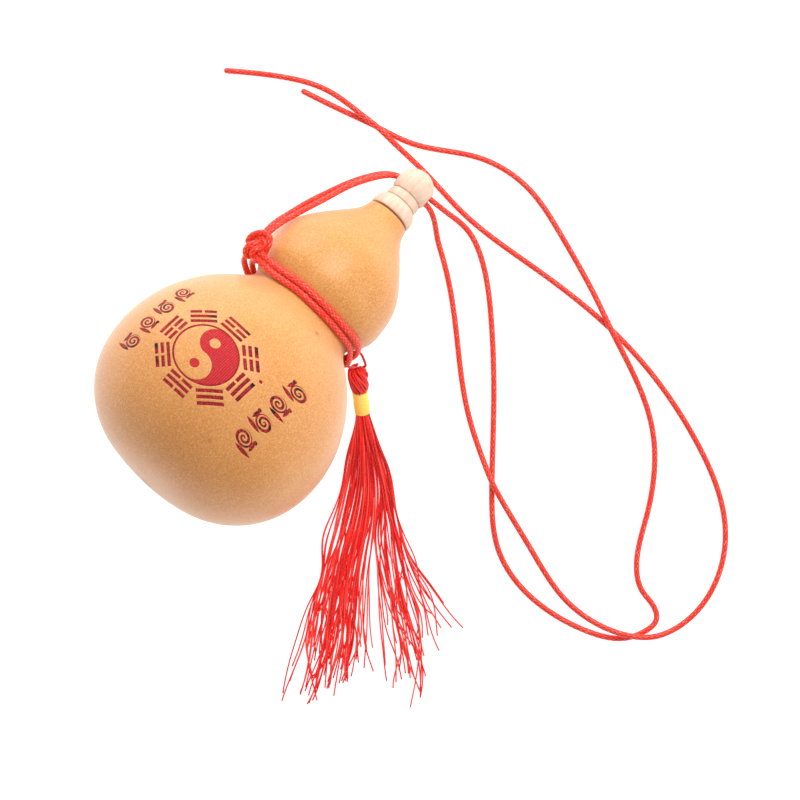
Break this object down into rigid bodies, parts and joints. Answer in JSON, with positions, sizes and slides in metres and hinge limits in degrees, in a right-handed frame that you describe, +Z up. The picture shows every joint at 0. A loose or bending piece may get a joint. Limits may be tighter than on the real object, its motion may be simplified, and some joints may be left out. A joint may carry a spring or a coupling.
{
  "type": "dried bottle gourd",
  "caption": "Dried double-bulb bottle gourd lying on its side, with a turned wooden stopper, a knotted red cord round its waist, long loose cords and a red tassel with a yellow binding.",
  "frame": {"origin": "on the table, below the middle of the box round the gourd, stopper and tassel, without the two long cords", "axes": "+Z up from the table, +X the way the gourd's mouth points seen from above, +Y to the side of the knot, with the tassel on the -Y side"},
  "size_m": [0.1858, 0.2393, 0.0819],
  "materials": {
    "gourd_skin": "satin dried rind",
    "stopper_wood": "satin turned beech",
    "red_cord": "woven satin cord",
    "red_silk": "twisted silk thread",
    "yellow_silk": "wound silk thread"
  },
  "bodies": {
    "root": {"gourd": "gourd_skin", "stopper": "stopper_wood", "waist_cord_mouth_side": "red_cord", "waist_cord_base_side": "red_cord", "knot": "red_cord", "long_cord_a": "red_cord", "long_cord_b": "red_cord", "tassel_loop": "red_silk", "tassel_threads": "red_silk", "tassel_binding": "yellow_silk"}
  },
  "joints": []
}
